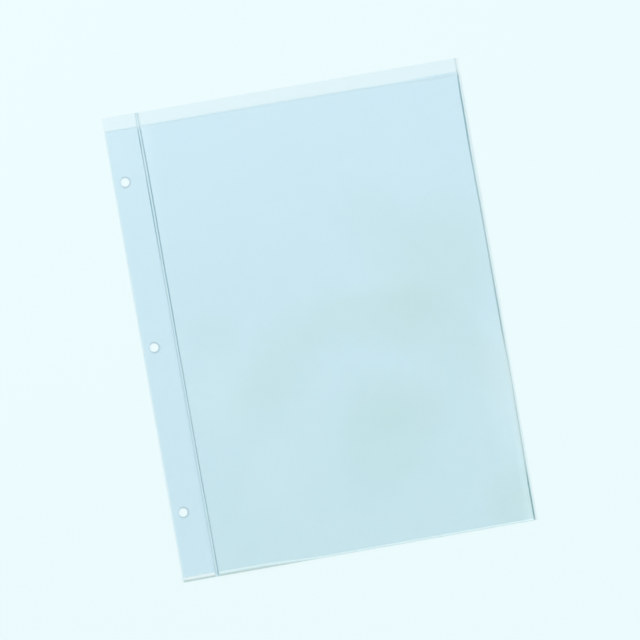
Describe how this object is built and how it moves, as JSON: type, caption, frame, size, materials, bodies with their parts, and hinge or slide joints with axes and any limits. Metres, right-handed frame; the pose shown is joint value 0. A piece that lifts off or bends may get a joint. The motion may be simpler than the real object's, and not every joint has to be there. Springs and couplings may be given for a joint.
{
  "type": "sheet protector",
  "caption": "Flat top-loading pocket of clear blue-tinted film with a punched binding margin, a flexible welded seam, a folded foot and a tall back leaf; holds papers in a ring binder.",
  "frame": {"origin": "middle of the page, on the surface that its back lies on", "axes": "+X from the binding edge to the welded side edge, +Y up the page to the mouth of the pocket, +Z out of the front leaf"},
  "size_m": [0.233, 0.3034, 0.0005],
  "materials": {
    "clear_film": "clear polypropylene film, faint blue tint, soft gloss",
    "fused_film": "heat-welded polypropylene, denser tint, soft gloss"
  },
  "bodies": {
    "binding_margin": {"margin_back_film": "clear_film", "margin_front_film": "clear_film", "binding_edge_weld": "fused_film", "margin_bottom_fold": "clear_film", "outer_seam_weld": "fused_film", "hinge_web": "fused_film"},
    "pocket": {"back_leaf": "clear_film", "inner_seam_weld": "fused_film", "side_weld": "fused_film", "bottom_fold": "clear_film"},
    "front_panel": {"front_leaf": "clear_film"}
  },
  "joints": [
    {"name": "seam_flex", "type": "hinge", "parent": "binding_margin", "child": "pocket", "pos_m": [-0.0938, 0, 0.0001], "axis": [0, -1, 0], "range_deg": [-90, 90], "deforming": ["hinge_web"]},
    {"name": "mouth_open", "type": "hinge", "parent": "pocket", "child": "front_panel", "pos_m": [0, -0.15148, 0.00027], "axis": [1, 0, 0], "range_deg": [0, 5], "stiffness_Nm_per_rad": 0.01}
  ]
}
